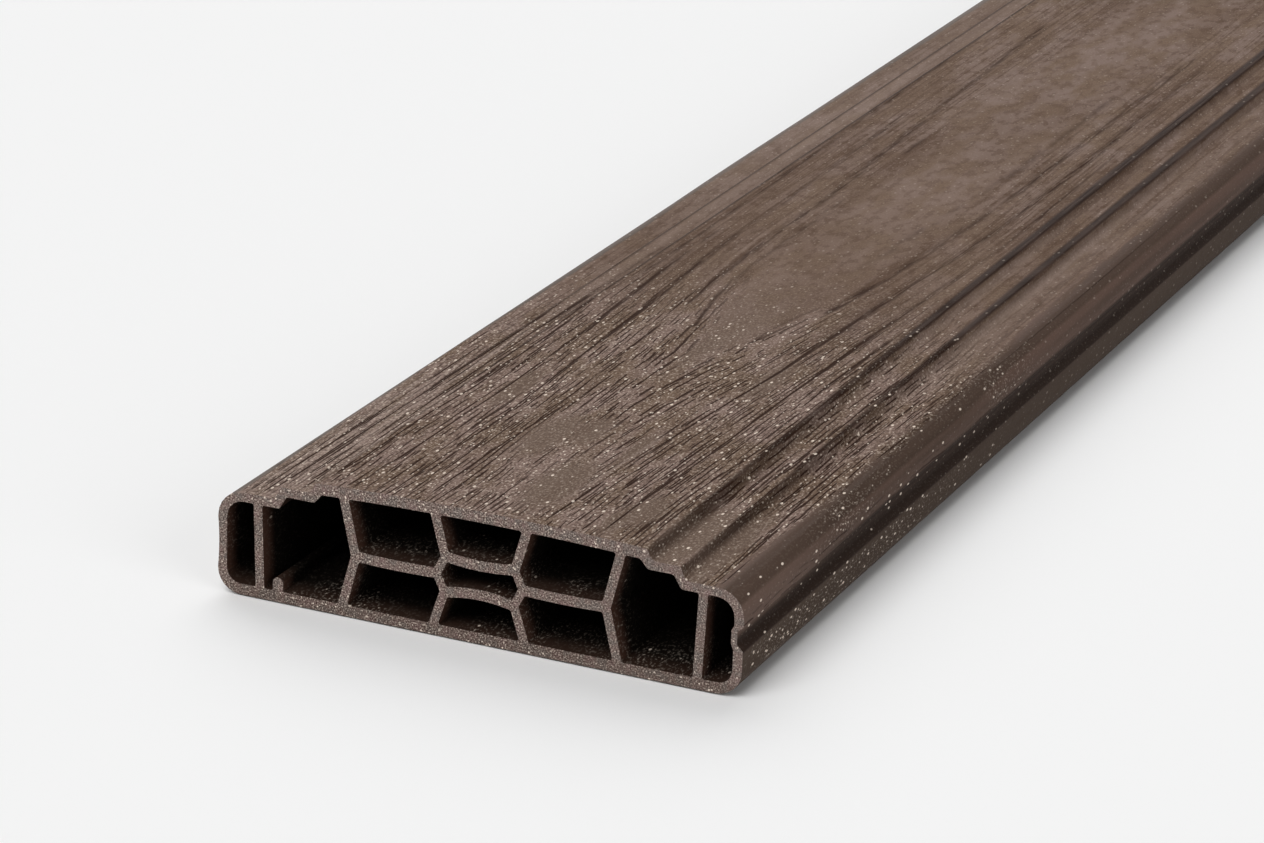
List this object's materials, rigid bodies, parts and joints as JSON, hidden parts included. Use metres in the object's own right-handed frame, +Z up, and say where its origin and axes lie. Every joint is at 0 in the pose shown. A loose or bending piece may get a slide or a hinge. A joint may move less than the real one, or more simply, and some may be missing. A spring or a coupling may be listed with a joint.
{
  "type": "pvc trim strip",
  "caption": "Hollow extruded pvc trim board with a wood-grain show face, stepped edges, a grooved right edge and a web-stiffened honeycomb section",
  "frame": {"origin": "middle of the flat back, where the strip rests on the floor: bottom centre of its box", "axes": "+Z up through the show face, +Y along the strip, +X across it towards the grooved edge"},
  "size_m": [0.12, 2.4, 0.0292],
  "materials": {
    "brown_pvc": "matte, embossed wood grain, speckled"
  },
  "bodies": {
    "root": {"trim_strip": "brown_pvc"}
  },
  "joints": []
}
